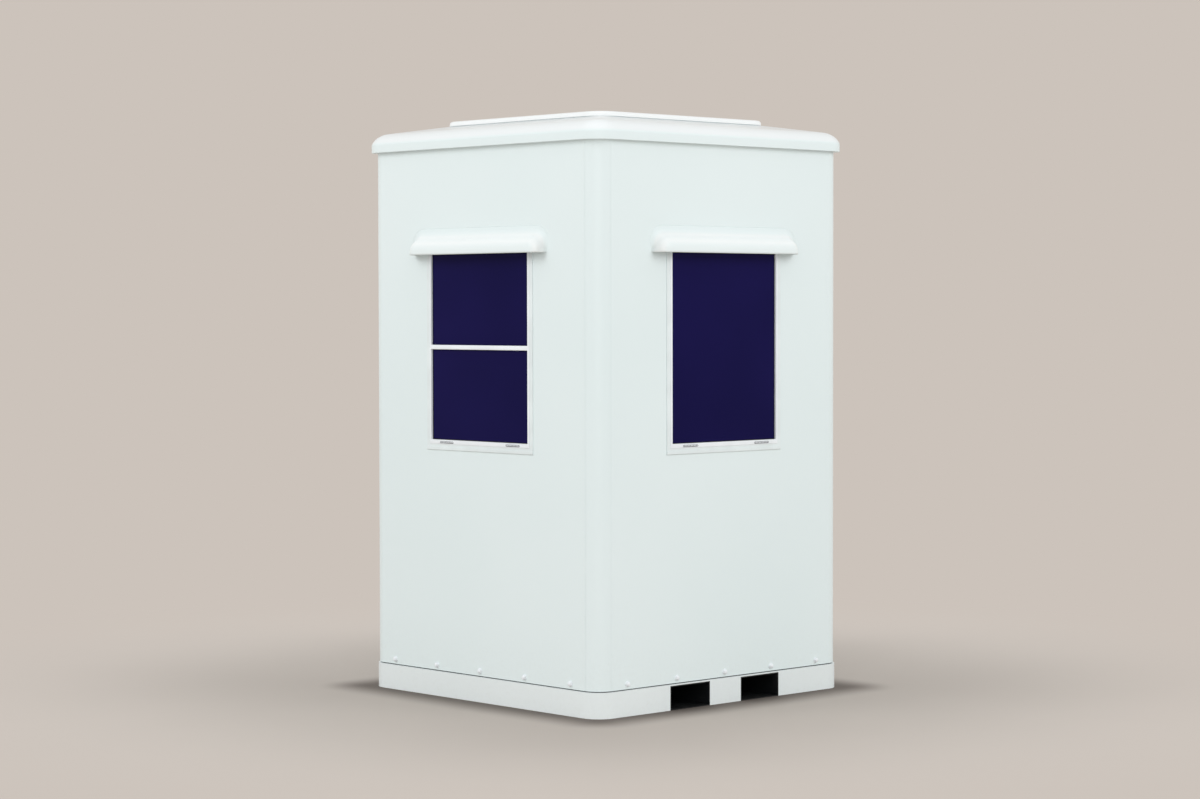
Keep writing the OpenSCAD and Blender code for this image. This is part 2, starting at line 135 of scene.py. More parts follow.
class Tree:
    """A material's node tree, with short ways to add what the finishes need."""

    def __init__(self, name):
        self.material = bpy.data.materials.new(name)
        self.material.use_nodes = True
        self.nodes = self.material.node_tree.nodes
        self.links = self.material.node_tree.links
        self.shader = self.nodes["Principled BSDF"]
        self.place = self.nodes.new("ShaderNodeTexCoord").outputs["Object"]

    def set(self, **sockets):
        """Sets constant values on the shader's own sockets."""
        for name, value in sockets.items():
            self.shader.inputs[name.replace("_", " ")].default_value = value

    def link(self, output, name):
        """Links an output to one of the shader's sockets."""
        self.links.new(output, self.shader.inputs[name])

    def stretched(self, scale):
        """The object's coordinates, scaled along each axis."""
        node = self.nodes.new("ShaderNodeMapping")
        node.inputs["Scale"].default_value = scale
        self.links.new(self.place, node.inputs["Vector"])
        return node.outputs["Vector"]

    def noise(self, scale, detail=3.0, rough=0.5, at=None):
        """Noise from 0 to 1, at the object's coordinates or at stretched ones."""
        node = self.nodes.new("ShaderNodeTexNoise")
        node.inputs["Scale"].default_value = scale
        node.inputs["Detail"].default_value = detail
        node.inputs["Roughness"].default_value = rough
        self.links.new(at or self.place, node.inputs["Vector"])
        return node.outputs["Fac"]

    def ramp(self, value, limits, out=(0.0, 1.0)):
        """A smooth step that takes the values between two limits to those between two others."""
        node = self.nodes.new("ShaderNodeMapRange")
        node.interpolation_type = "SMOOTHSTEP"
        for name, number in zip(("From Min", "From Max", "To Min", "To Max"), (*limits, *out)):
            node.inputs[name].default_value = number
        self.links.new(value, node.inputs["Value"])
        return node.outputs["Result"]

    def combine(self, operation, a, b):
        """Two outputs combined by an operation, such as MULTIPLY."""
        node = self.nodes.new("ShaderNodeMath")
        node.operation = operation
        self.links.new(a, node.inputs[0])
        self.links.new(b, node.inputs[1])
        return node.outputs["Value"]

    def mix(self, factor, a, b):
        """A colour between a and b, each a colour or the output of another node."""
        node = self.nodes.new("ShaderNodeMix")
        node.data_type = "RGBA"
        self.links.new(factor, node.inputs["Factor"])
        for name, colour in (("A", a), ("B", b)):
            socket = [s for s in node.inputs if s.name == name and s.type == "RGBA"][0]
            if isinstance(colour, bpy.types.NodeSocket):
                self.links.new(colour, socket)
            else:
                socket.default_value = colour
        return [s for s in node.outputs if s.type == "RGBA"][0]

    def height(self):
        """Height above the ground."""
        node = self.nodes.new("ShaderNodeSeparateXYZ")
        self.links.new(self.place, node.inputs["Vector"])
        return node.outputs["Z"]

    def off_middle(self):
        """Distance from the booth's middle line, square to the nearest side."""
        size = self.nodes.new("ShaderNodeVectorMath")
        size.operation = "ABSOLUTE"
        self.links.new(self.place, size.inputs[0])
        parts = self.nodes.new("ShaderNodeSeparateXYZ")
        self.links.new(size.outputs["Vector"], parts.inputs["Vector"])
        return self.combine("MAXIMUM", parts.outputs["X"], parts.outputs["Y"])

    def bump(self, value, strength, distance, under=None):
        """A normal bent by a value, on top of another bump if one is given."""
        node = self.nodes.new("ShaderNodeBump")
        node.inputs["Strength"].default_value = strength
        node.inputs["Distance"].default_value = distance
        self.links.new(value, node.inputs["Height"])
        if under:
            self.links.new(under, node.inputs["Normal"])
        return node.outputs["Normal"]


# Finishes

# Limits that hold most of a noise's values
NOISE_MIDDLE = (0.3, 0.7)
# Least and most roughness of each finish
GELCOAT_ROUGHNESS = (0.29, 0.39)
POWDER_ROUGHNESS = (0.30, 0.38)
GLASS_ROUGHNESS = (0.05, 0.13)
RUBBER_ROUGHNESS = (0.6, 0.8)
FORK_ROUGHNESS = (0.35, 0.6)
VINYL_ROUGHNESS = (0.45, 0.6)
STEEL_ROUGHNESS = (0.24, 0.40)
PLASTIC_ROUGHNESS = (0.4, 0.55)

# Heights that dust reaches on the walls and on the base, how much there is, and its specks' limits
WALL_DUST, BASE_DUST = 0.45, 0.16
DUST_MOST = 0.15
SPECK_LIMITS = (0.45, 0.80)
# A hood's painted highlight grows over this distance from the wall, and is weaker again on its lip
HIGHLIGHT_FROM = 0.016
LIP_HIGHLIGHT_FADE = 0.012
LIP_HIGHLIGHT_SHARE = 0.3
# Heights above the eaves between which the painted highlight on the roof's rim grows to full
RIM_HIGHLIGHT_FROM, RIM_HIGHLIGHT_FULL = 0.033, 0.050

# The powder coat's faint patches: how pale they are, and their limits
POWDER_FAINT = 0.97
POWDER_LIMITS = (0.35, 0.7)
# Wipe marks on glass, scuffs in the fork tubes, brush lines on steel and flecks in vinyl:
# their scaling along each axis, and their limits
WIPE_SCALING, WIPE_LIMITS = (1.0, 1.0, 3.5), (0.3, 0.75)
SCUFF_SCALING, SCUFF_LIMITS = (0.25, 2.0, 2.0), (0.55, 0.8)
BRUSH_SCALING = (12.0, 12.0, 0.35)
FLECK_LIMITS = (0.52, 0.62)


def hood_painted_highlight(t):
    """How much painted highlight a hood gets, from 0 for the walls' colour to 1 for its whiter copy.
    """
    out = t.off_middle()
    off_wall = t.ramp(out, (WALL_FACE, WALL_FACE + HIGHLIGHT_FROM))
    off_lip = t.ramp(out, (HOOD_FACE - LIP_HIGHLIGHT_FADE, HOOD_FACE), (1.0, LIP_HIGHLIGHT_SHARE))
    return t.combine("MULTIPLY", off_wall, off_lip)


def roof_painted_highlight(t):
    """How much painted highlight the roof's rim gets, from 0 for the walls' colour to 1 for its whiter
    copy.
    """
    return t.ramp(t.height(), (EAVES + RIM_HIGHLIGHT_FROM, EAVES + RIM_HIGHLIGHT_FULL))


def moulded(name, pale, dull, dust_height, white=None):
    """Glossy gelcoat: faint clouds, orange peel, the mould's slow ripples and dust near the ground,
    with a whiter copy as painted highlight where a mask is given.
    """
    t = Tree(name)
    clouds = t.ramp(t.noise(scale=0.9, detail=2.0), NOISE_MIDDLE)
    clean = t.mix(clouds, linear(dull), linear(pale))
    if white:
        # The mask paints a highlight: the walls' colour where it is 0, the whiter copy where it is 1
        walls = t.mix(clouds, linear(GELCOAT_DULL), linear(GELCOAT_PALE))
        clean = t.mix(white(t), walls, clean)
    low = t.ramp(t.height(), (0.0, dust_height), (1.0, 0.0))
    specks = t.ramp(t.noise(scale=60.0, detail=5.0, rough=0.65), SPECK_LIMITS, (0.0, DUST_MOST))
    t.link(t.mix(t.combine("MULTIPLY", low, specks), clean, linear(DUST)), "Base Color")
    t.link(t.ramp(t.noise(scale=2.5, detail=2.0), (0.0, 1.0), GELCOAT_ROUGHNESS), "Roughness")
    ripple = t.bump(t.noise(scale=2.6, detail=1.0), strength=0.12, distance=0.004)
    peel = t.bump(t.noise(scale=260.0, detail=2.0), strength=0.05, distance=0.0006, under=ripple)
    t.link(peel, "Normal")
    t.set(Coat_Weight=0.25, Coat_Roughness=0.08, IOR=1.5)
    return t.material


def powder_coat(name, colour):
    """White powder coat: a fine even texture and hardly any clouding."""
    t = Tree(name)
    faint = tuple(c * POWDER_FAINT for c in colour)
    clouds = t.ramp(t.noise(scale=9.0), POWDER_LIMITS)
    t.link(t.mix(clouds, linear(faint), linear(colour)), "Base Color")
    t.link(t.ramp(t.noise(scale=40.0, detail=2.0), NOISE_MIDDLE, POWDER_ROUGHNESS), "Roughness")
    t.link(t.bump(t.noise(scale=520.0, detail=2.0), strength=0.10, distance=0.0004), "Normal")
    return t.material


def tinted_glass():
    """Dark film-tinted glass: a slow drift in tone and faint wipe marks in the gloss."""
    t = Tree("tinted_glass")
    drift = t.ramp(t.noise(scale=1.3, detail=2.0), NOISE_MIDDLE)
    t.link(t.mix(drift, linear(NAVY_DEEP), linear(NAVY)), "Base Color")
    wipes = t.noise(scale=3.0, detail=5.0, rough=0.6, at=t.stretched(WIPE_SCALING))
    t.link(t.ramp(wipes, WIPE_LIMITS, GLASS_ROUGHNESS), "Roughness")
    t.set(Specular_IOR_Level=0.06, IOR=1.45)
    return t.material


def rubber():
    """Matt black rubber with a fine grain."""
    t = Tree("rubber")
    patches = t.noise(scale=60.0, detail=4.0)
    t.link(t.mix(patches, linear(RUBBER_DARK), linear(RUBBER_PALE)), "Base Color")
    t.link(t.ramp(t.noise(scale=25.0), NOISE_MIDDLE, RUBBER_ROUGHNESS), "Roughness")
    t.link(t.bump(t.noise(scale=700.0, detail=2.0), strength=0.15, distance=0.0004), "Normal")
    return t.material


def black_steel():
    """Black paint on steel, scuffed along the way that tines slide in."""
    t = Tree("black_steel")
    streaks = t.noise(scale=14.0, detail=6.0, rough=0.7, at=t.stretched(SCUFF_SCALING))
    scuffs = t.ramp(streaks, SCUFF_LIMITS)
    t.link(t.mix(scuffs, linear(FORK_BLACK), linear(FORK_SCUFFED)), "Base Color")
    t.link(t.ramp(t.noise(scale=20.0, detail=4.0), NOISE_MIDDLE, FORK_ROUGHNESS), "Roughness")
    t.link(t.bump(t.noise(scale=120.0, detail=4.0), strength=0.15, distance=0.0006), "Normal")
    return t.material


def vinyl():
    """Grey sheet floor with fine flecks."""
    t = Tree("vinyl")
    flecks = t.ramp(t.noise(scale=420.0, detail=2.0), FLECK_LIMITS)
    t.link(t.mix(flecks, linear(VINYL_GREY), linear(VINYL_FLECK)), "Base Color")
    t.link(t.ramp(t.noise(scale=8.0, detail=4.0), NOISE_MIDDLE, VINYL_ROUGHNESS), "Roughness")
    t.link(t.bump(t.noise(scale=300.0, detail=2.0), strength=0.2, distance=0.0004), "Normal")
    return t.material


def brushed_steel():
    """Stainless steel with fine upright brush lines."""
    t = Tree("brushed_steel")
    lines = t.noise(scale=90.0, detail=6.0, rough=0.7, at=t.stretched(BRUSH_SCALING))
    t.link(t.mix(lines, linear(STEEL_DARK), linear(STEEL_PALE)), "Base Color")
    t.link(t.ramp(lines, NOISE_MIDDLE, STEEL_ROUGHNESS), "Roughness")
    t.link(t.bump(lines, strength=0.08, distance=0.0003), "Normal")
    t.set(Metallic=1.0)
    return t.material


def grey_plastic():
    """Grey moulded plastic of the drain covers."""
    t = Tree("grey_plastic")
    t.link(t.mix(t.noise(scale=80.0), linear(PLASTIC_DARK), linear(PLASTIC_PALE)), "Base Color")
    t.link(t.ramp(t.noise(scale=60.0), NOISE_MIDDLE, PLASTIC_ROUGHNESS), "Roughness")
    return t.material


GELCOAT = moulded("gelcoat", GELCOAT_PALE, GELCOAT_DULL, WALL_DUST)
# The roof's rim, the crown's lid and the hoods are a shade whiter than the walls, as painted highlight
GELCOAT_ROOF_HIGHLIGHT = moulded("gelcoat_roof_highlight", ROOF_HIGHLIGHT_PALE, ROOF_HIGHLIGHT_DULL, WALL_DUST, roof_painted_highlight)
GELCOAT_LID_HIGHLIGHT = moulded("gelcoat_lid_highlight", LID_HIGHLIGHT_PALE, LID_HIGHLIGHT_DULL, WALL_DUST)
GELCOAT_HOOD_HIGHLIGHT = moulded("gelcoat_hood_highlight", HOOD_HIGHLIGHT_PALE, HOOD_HIGHLIGHT_DULL, WALL_DUST, hood_painted_highlight)
BASE = moulded("base_gelcoat", BASE_PALE, BASE_DULL, BASE_DUST)
FRAME = powder_coat("frame_white", FRAME_WHITE)
BEAD = powder_coat("bead_white", BEAD_WHITE)
GLASS = tinted_glass()
RUBBER = rubber()
FORK_STEEL = black_steel()
VINYL = vinyl()
STEEL = brushed_steel()
GREY_PLASTIC = grey_plastic()

SLOT_FINISH = {
    "gelcoat": GELCOAT,
    "base": BASE,
    "frame": FRAME,
    "glass": GLASS,
    "fork_tube": FORK_STEEL,
    "seal": RUBBER,
    "deck": VINYL,
    "fittings": STEEL,
}


def dress_cad():
    """Gives every CAD node the finish of its slot, and the crown's lid a whiter one as painted
    highlight.
    """
    for part in frame["record"]["subparts"]:
        node = nodes[part["node"]]
        node.data.materials.clear()
        node.data.materials.append(SLOT_FINISH[part["material_slot"]])
    nodes["crown_lid"].data.materials[0] = GELCOAT_LID_HIGHLIGHT


# Rounding of CAD edges: radii, steps, and the least angle in degrees between an edge's faces
FRAME_EDGE, TRIM_EDGE = 0.0018, 0.0012
EDGE_STEPS = 3
EDGE_ANGLE = 40


def soften(names, radius):
    """Rounds the sharp edges of CAD nodes for the eye."""
    for name in names:
        bevel = nodes[name].modifiers.new("soft_edges", "BEVEL")
        bevel.width = radius
        bevel.segments = EDGE_STEPS
        bevel.limit_method = "ANGLE"
        bevel.angle_limit = math.radians(EDGE_ANGLE)
        bevel.harden_normals = True


# Making pieces

# Edges of a piece that turn by more than this, in degrees, stay sharp in its shading
SHARP_ANGLE = 38


def piece(name, bm, finish, turn=FRONT, replaced=None):
    """Turns a bmesh made for the front into a piece on its side of the booth."""
    bmesh.ops.recalc_face_normals(bm, faces=bm.faces)
    mesh = bpy.data.meshes.new(name)
    bm.transform(Matrix.Rotation(math.radians(turn), 4, "Z"))
    bm.to_mesh(mesh)
    bm.free()
    mesh.materials.append(finish)
    mesh.shade_smooth()
    mesh.set_sharp_from_angle(angle=math.radians(SHARP_ANGLE))
    made = bpy.data.objects.new(name, mesh)
    bpy.context.scene.collection.objects.link(made)
    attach(made, "root")
    if replaced:
        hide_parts(replaced)
    return made


def skin(bm, rows, closed=False):
    """Joins rows of vertices, each as long as the next, with faces."""
    pairs = list(zip(rows, rows[1:])) + ([(rows[-1], rows[0])] if closed else [])
    for a, b in pairs:
        for i in range(len(a) - 1):
            corners = []
            for v in (a[i], a[i + 1], b[i + 1], b[i]):
                if v not in corners:
                    corners.append(v)
            if len(corners) > 2:
                bm.faces.new(corners)


def capped_skin(bm, rows):
    """Joins closed rows of vertices, and closes the first and the last with a face."""
    skin(bm, rows)
    bm.faces.new(rows[0][:-1])
    bm.faces.new(rows[-1][:-1])


def spline(before, a, b, after, t):
    """A smooth step from a to b, for t from 0 to 1, that heeds the values before and after them."""
    square = 2 * before - 5 * a + 4 * b - after
    cube = 3 * a - before - 3 * b + after
    return 0.5 * (2 * a + (b - before) * t + square * t ** 2 + cube * t ** 3)


def smooth_line(points, steps):
    """A smooth line through the points, with so many steps between each two."""
    ends = [points[0]] + list(points) + [points[-1]]
    line = []
    for four in zip(ends, ends[1:], ends[2:], ends[3:]):
        for i in range(steps):
            line.append(tuple(spline(*values, i / steps) for values in zip(*four)))
    return line + [points[-1]]


# Roof

# The roof's edge from its lip inwards: distance in from the edge and height above the eaves
ROOF_EDGE = (
    (0.0020, 0.0000), (0.0005, 0.0010), (0.0000, 0.0030), (0.0000, 0.0330), (0.0010, 0.0372),
    (0.0040, 0.0442), (0.0090, 0.0514), (0.0160, 0.0597), (0.0280, 0.0697), (0.0420, 0.0774),
    (0.0570, 0.0834), (0.0750, 0.0868),
)
# Radii of the roof's corners, at its edge and at its top
ROOF_RADIUS = 0.112
ROOF_TOP_RADIUS = 0.045
# How far the roof's flat top passes the curb of the crown
CURB_MARGIN = 0.0025
# Steps of a rounded corner, and between two points of the edge
LOOP_STEPS, EDGE_LINE_STEPS = 12, 3


def rounded_loop(bm, half, radius, z):
    """A square loop with rounded corners at height z, closed by its first vertex."""
    loop = []
    for quarter in range(4):
        middle = Matrix.Rotation(math.pi / 2 * quarter, 2) @ Vector((half - radius, half - radius))
        for i in range(LOOP_STEPS + 1):
            turn = math.pi / 2 * (quarter + i / LOOP_STEPS)
            x, y = middle.x + radius * math.cos(turn), middle.y + radius * math.sin(turn)
            loop.append(bm.verts.new((x, y, z)))
    return loop + loop[:1]


def roof():
    """The roof cap with a smooth rolled rim and a low rise to the crown."""
    low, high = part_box("roof_cap")
    top_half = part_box("crown_curb")[1].x + CURB_MARGIN
    bm = bmesh.new()
    rows = [
        rounded_loop(bm, high.x - inset, ROOF_RADIUS - inset, low.z + height)
        for inset, height in smooth_line(ROOF_EDGE, EDGE_LINE_STEPS)
    ]
    rows.append(rounded_loop(bm, top_half, ROOF_TOP_RADIUS, high.z))
    capped_skin(bm, rows)
    piece("roof_shell", bm, GELCOAT_ROOF_HIGHLIGHT, replaced="roof_cap")


# Hoods

# Height of the lip and thickness of the skin
HOOD_LIP = 0.016
HOOD_SKIN = 0.005
# Half-axes of the rounding along the wall and up the wall
HOOD_END, HOOD_RISE = 0.056, 0.058
# Pairs for the ends and for the top: how full the rounding is, where its run into the wall starts,
# how quickly that falls, and how far it goes
HOOD_BULGE = (2.4, 2.0)
TAIL_START = (0.008, 0.030)
TAIL_FALL = (0.0030, 0.0165)
TAIL_REACH = (0.0070, 0.050)
# How far the thin last part of the run passes the solid hood's ends
TAIL_OVER = 0.003
HOOD_STEPS, TAIL_STEPS, HOOD_ARC_STEPS = 16, 12, 14
# Power that sets the steps of the run closer together at its start
TAIL_CROWD = 1.5
# Vertices closer than this become one
WELD = 1e-5


def hood_profile(depth, turned):
    """The way along the wall, up it and off it, from the lip's face to the wall."""
    along, up = math.cos(turned), math.sin(turned)
    bulge, start, fall, reach = (
        end + (top - end) * up for end, top in (HOOD_BULGE, TAIL_START, TAIL_FALL, TAIL_REACH)
    )
    last = math.acos((start / depth) ** (bulge / 2))
    line = []
    for i in range(HOOD_STEPS):
        angle = last * i / HOOD_STEPS
        share = math.sin(angle) ** (2 / bulge)
        stand = depth * math.cos(angle) ** (2 / bulge)
        line.append((HOOD_END * along * share, HOOD_RISE * up * share, stand))
    share = math.sin(last) ** (2 / bulge)
    for i in range(TAIL_STEPS + 1):
        gone = (i / TAIL_STEPS) ** TAIL_CROWD
        at = reach * gone
        stand = start * math.exp(-at / fall) * (1 - gone ** 2)
        line.append((along * (HOOD_END * share + at), up * (HOOD_RISE * share + at), stand))
    return line


def hood(side, turn):
    """A hood over an opening: a low lip, rounded over its top and ends and run into the wall."""
    node = side + "_hood"
    low, high = side_box(node, turn)
    depth = high.y - low.y
    flat = high.x + TAIL_OVER - max(along for along, up, stand in hood_profile(depth, 0.0))
    half_path = [(0.0, 0.0), (0.0, HOOD_LIP / 2)]
    half_path += [(math.pi / 2 * i / HOOD_ARC_STEPS, HOOD_LIP) for i in range(HOOD_ARC_STEPS + 1)]
    path = [(-1, *step) for step in half_path] + [(1, *step) for step in reversed(half_path)]
    bm = bmesh.new()
    rows = [
        [
            bm.verts.new((end * (flat + along), -WALL_FACE - stand, low.z + z + up))
            for along, up, stand in hood_profile(depth, turned)
        ]
        for end, turned, z in path
    ]
    skin(bm, rows)
    bm.faces.new([row[0] for row in rows])
    bmesh.ops.remove_doubles(bm, verts=bm.verts, dist=WELD)
    made = piece(side + "_hood_shell", bm, GELCOAT_HOOD_HIGHLIGHT, turn, node)
    shell = made.modifiers.new("shell", "SOLIDIFY")
    shell.thickness = HOOD_SKIN
    shell.offset = -1


# Window trim

# How far a frame covers the edge of its glass, in a window and in the door
GLASS_BITE = 0.0065
DOOR_BITE = 0.010
# What a bead has outside its opening is this many times as wide on the lower side
BEAD_FOOT = 2.2

# Sections as distance out from the edge of the opening and distance from the booth's middle
BEAD_SECTION = (
    (-0.0030, GLASS_FACE), (-0.0030, FRAME_FACE + 0.0012), (-0.0022, FRAME_FACE + 0.0028),
    (-0.0004, FRAME_FACE + 0.0036), (0.0044, FRAME_FACE + 0.0032), (0.0068, FRAME_FACE + 0.0020),
    (0.0076, FRAME_FACE - 0.0004),
)
GASKET_SECTION = (
    (-0.0062, GLASS_FACE - 0.0002), (-0.0056, GLASS_FACE + 0.0010), (-0.0024, GLASS_FACE + 0.0018),
    (-0.0024, GLASS_FACE - 0.0002),
)


def ring(bm, low, high, section, foot):
    """A mitred ring round an opening, wider by foot times where it lies below the opening."""
    rows = []
    for x_side, z_side in ((-1, -1), (1, -1), (1, 1), (-1, 1)):
        x, z = (low.x if x_side < 0 else high.x), (low.z if z_side < 0 else high.z)
        row = []
        for out, stand in section:
            widen = foot if z_side < 0 and out > 0 else 1
            row.append(bm.verts.new((x + x_side * out, -stand, z + z_side * out * widen)))
        rows.append(row + row[:1])
    skin(bm, rows, closed=True)


def glazing(side, turn, panes, bite):
    """The white bead and the black gasket round an opening, whose corners it returns."""
    boxes = [side_box(pane, turn) for pane in panes]
    inset = Vector((bite, 0.0, bite))
    low = Vector(min(c) for c in zip(*(b[0] for b in boxes))) + inset
    high = Vector(max(c) for c in zip(*(b[1] for b in boxes))) - inset
    for name, section, finish, slot in (
        ("bead", BEAD_SECTION, BEAD, "frame"), ("gasket", GASKET_SECTION, RUBBER, "seal"),
    ):
        bm = bmesh.new()
        ring(bm, low, high, section, BEAD_FOOT)
        piece(side + "_" + name, bm, finish, turn)
    return low, high


# The rail cover: half its height, how far it stands off the frame, the rounding of its edges,
# and how far its ends pass the opening's
RAIL_HALF = 0.010
RAIL_PROUD = 0.0026
RAIL_ROUND = 0.0022
RAIL_OVER = 0.0005


def meeting_rail(low, high):
    """The white cover over the rail between the front window's panes."""
    upper, lower = (side_box(pane, FRONT) for pane in ("front_glass_upper", "front_glass_lower"))
    middle = (upper[0].z + lower[1].z) / 2
    face = FRAME_FACE + RAIL_PROUD
    half = (
        (RAIL_HALF, GLASS_FACE), (RAIL_HALF, face - RAIL_ROUND),
        (RAIL_HALF - RAIL_ROUND / 3, face - RAIL_ROUND / 3), (RAIL_HALF - RAIL_ROUND, face),
    )
    section = [(middle - z, stand) for z, stand in half]
    section += [(middle + z, stand) for z, stand in reversed(half)]
    bm = bmesh.new()
    rows = []
    for x in (low.x - RAIL_OVER, high.x + RAIL_OVER):
        row = [bm.verts.new((x, -stand, z)) for z, stand in section]
        rows.append(row + row[:1])
    capped_skin(bm, rows)
    piece("front_rail_cover", bm, BEAD)


# Drain covers: their places along the rail, half length and half height, how far below the opening
# and off the frame they are, and the width of their rim
WEEP_PLACES = (-0.213, 0.225)
WEEP_HALF = 0.045
WEEP_HIGH = 0.0042
WEEP_BELOW = 0.0078
WEEP_PROUD = 0.0030
WEEP_FACE = FRAME_FACE + WEEP_PROUD
WEEP_RIM = 0.0012
# The rim's section as distance in from the cover's edge and distance off its face
WEEP_SECTION = (
    (0.0, -0.0005), (0.0, 0.0012), (WEEP_RIM / 2, 0.0018), (WEEP_RIM, 0.0012), (WEEP_RIM, 0.0002),
)
WEEP_BARS = 9
BAR_HALF, BAR_PROUD = 0.0008, 0.0009
# Steps of a round end
END_STEPS = 8


def stadium(bm, x, z, half, high, stand):
    """A flat loop with round ends, closed by its first vertex."""
    loop = []
    for side in (1, -1):
        for i in range(END_STEPS + 1):
            turn = math.pi * (i / END_STEPS - 0.5)
            along, up = half - high + high * math.cos(turn), high * math.sin(turn)
            loop.append(bm.verts.new((x + side * along, -stand, z + side * up)))
    return loop + loop[:1]


def block(bm, low, high):
    """A small box between two corners."""
    for v in bmesh.ops.create_cube(bm, size=1.0)["verts"]:
        v.co = Vector(a + (c + 0.5) * (b - a) for a, b, c in zip(low, high, v.co))


def weeps(side, turn, low):
    """The two slotted drain covers in a window's lower rail."""
    bm = bmesh.new()
    z = low.z - WEEP_BELOW
    for x in WEEP_PLACES:
        capped_skin(bm, [
            stadium(bm, x, z, WEEP_HALF - inset, WEEP_HIGH - inset, WEEP_FACE + proud)
            for inset, proud in WEEP_SECTION
        ])
        for i in range(WEEP_BARS):
            middle = x + (i - (WEEP_BARS - 1) / 2) * 2 * (WEEP_HALF - WEEP_HIGH) / WEEP_BARS
            block(
                bm, (middle - BAR_HALF, -WEEP_FACE - BAR_PROUD, z - WEEP_HIGH + WEEP_RIM),
                (middle + BAR_HALF, -WEEP_FACE, z + WEEP_HIGH - WEEP_RIM),
            )
    piece(side + "_weeps", bm, GREY_PLASTIC, turn)


# Mould lines

LINE_HALF = 0.0080
LINE_PROUD = 0.0005
# The line's section, as shares of its half width and of its height
LINE_SECTION = ((-1.0, -0.2), (-0.6, 0.4), (-0.2, 0.9), (0.2, 0.9), (0.6, 0.4), (1.0, -0.2))


def mould_lines(side, turn):
    """The faint upright lines where a flat wall runs into the rounded corners."""
    low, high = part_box("corner_front_right")
    bm = bmesh.new()
    for x in (-low.x, low.x):
        rows = []
        for z in (low.z, high.z):
            row = [
                bm.verts.new((x + share * LINE_HALF, -WALL_FACE - proud * LINE_PROUD, z))
                for share, proud in LINE_SECTION
            ]
            rows.append(row + row[:1])
        capped_skin(bm, rows)
    piece(side + "_mould_lines", bm, GELCOAT, turn)


# Bolts and door fittings

BOLT_HEIGHT = 0.1357
BOLT_STEP = 0.2907
# Places of the bolts along a wall, in steps from its middle
BOLT_ROW = (-2, -1, 0, 1, 2)
BOLTS_BESIDE_DOOR = (-2, 2)
# Round heads as radius and height above what they sit on
BOLT_PROFILE = (
    (0.0125, -0.0005), (0.0125, 0.0014), (0.0119, 0.0024), (0.0108, 0.0027), (0.0105, 0.0054),
    (0.0094, 0.0084), (0.0071, 0.0107), (0.0040, 0.0119),
)
LOCK_PROFILE = (
    (0.0125, -0.0005), (0.0125, 0.0030), (0.0118, 0.0038), (0.0098, 0.0038), (0.0095, 0.0030),
    (0.0085, 0.0030),
)
SCREW_PROFILE = ((0.0040, -0.0003), (0.0038, 0.0008), (0.0026, 0.0014), (0.0010, 0.0016))
ROUND_STEPS = 20

# The handle's plate: half its width, its thickness, and how far its screws are from its ends
PLATE_HALF = 0.021
PLATE_THICK = 0.008
SCREW_INSET = 0.014
# The lock's middle is this far below the handle's
LOCK_BELOW = 0.062
# The key slot, a black block as painted shade for the slot's hollow: half its width and height, its
# back and front off the plate, and its bevel
KEY_HALF_WIDTH, KEY_HALF_HEIGHT = 0.0008, 0.0048
KEY_BACK, KEY_FRONT = 0.0025, 0.0033
KEY_BEVEL = 0.0002


def dome(bm, x, z, stand, profile):
    """A round head on a wall, closed over its top and its foot."""
    turns = [math.tau * i / ROUND_STEPS for i in range(ROUND_STEPS)]
    rows = []
    for radius, height in profile:
        row = []
        for a in turns:
            place = (x + radius * math.cos(a), -stand - height, z + radius * math.sin(a))
            row.append(bm.verts.new(place))
        rows.append(row + row[:1])
    capped_skin(bm, rows)


def bolts(side, turn, steps):
    """The white caps over the bolts along a wall's foot."""
    bm = bmesh.new()
    for step in steps:
        dome(bm, step * BOLT_STEP, BOLT_HEIGHT, WALL_FACE, BOLT_PROFILE)
    piece(side + "_bolts", bm, BEAD, turn)


def door_fittings():
    """A lock cylinder with a black block as painted shade for its key slot, and the screws of the
    handle's plate.
    """
    low, high = side_box("door_handle", BACK)
    x = high.x - PLATE_HALF
    face = FRAME_FACE + PLATE_THICK
    lock_z = (low.z + high.z) / 2 - LOCK_BELOW
    bm = bmesh.new()
    dome(bm, x, lock_z, face, LOCK_PROFILE)
    for z in (low.z + SCREW_INSET, high.z - SCREW_INSET):
        dome(bm, x, z, face, SCREW_PROFILE)
    piece("door_lock", bm, STEEL, BACK)
    bm = bmesh.new()
    block(
        bm, (x - KEY_HALF_WIDTH, -face - KEY_FRONT, lock_z - KEY_HALF_HEIGHT),
        (x + KEY_HALF_WIDTH, -face - KEY_BACK, lock_z + KEY_HALF_HEIGHT),
    )
    bmesh.ops.bevel(bm, geom=bm.edges, offset=KEY_BEVEL, segments=1)
    piece("door_key_slot_painted_shade", bm, RUBBER, BACK)


# Stage

FLOOR_SIZE = 60.0
# Two tones of the floor, as shares of the pale floor's colour
FLOOR_TONES = (0.96, 0.95)
# The floor's painted shadow beside the base, in two rims: how far each reaches and how dark it starts
PAINTED_SHADOW_NARROW, PAINTED_SHADOW_WIDE = (0.25, 0.70), (2.0, 0.18)
# Distances from the booth's middle between which the floor turns into the backdrop
FLOOR_FADE = (1.6, 4.0)


def seen_rays(tree_nodes, tree_links):
    """1 for rays that show the background: from the camera, in a reflection or through glass."""
    path = tree_nodes.new("ShaderNodeLightPath")
    value = path.outputs["Is Camera Ray"]
    for name in ("Is Glossy Ray", "Is Transmission Ray"):
        either = tree_nodes.new("ShaderNodeMath")
        either.operation = "MAXIMUM"
        tree_links.new(value, either.inputs[0])
        tree_links.new(path.outputs[name], either.inputs[1])
        value = either.outputs["Value"]
    return value


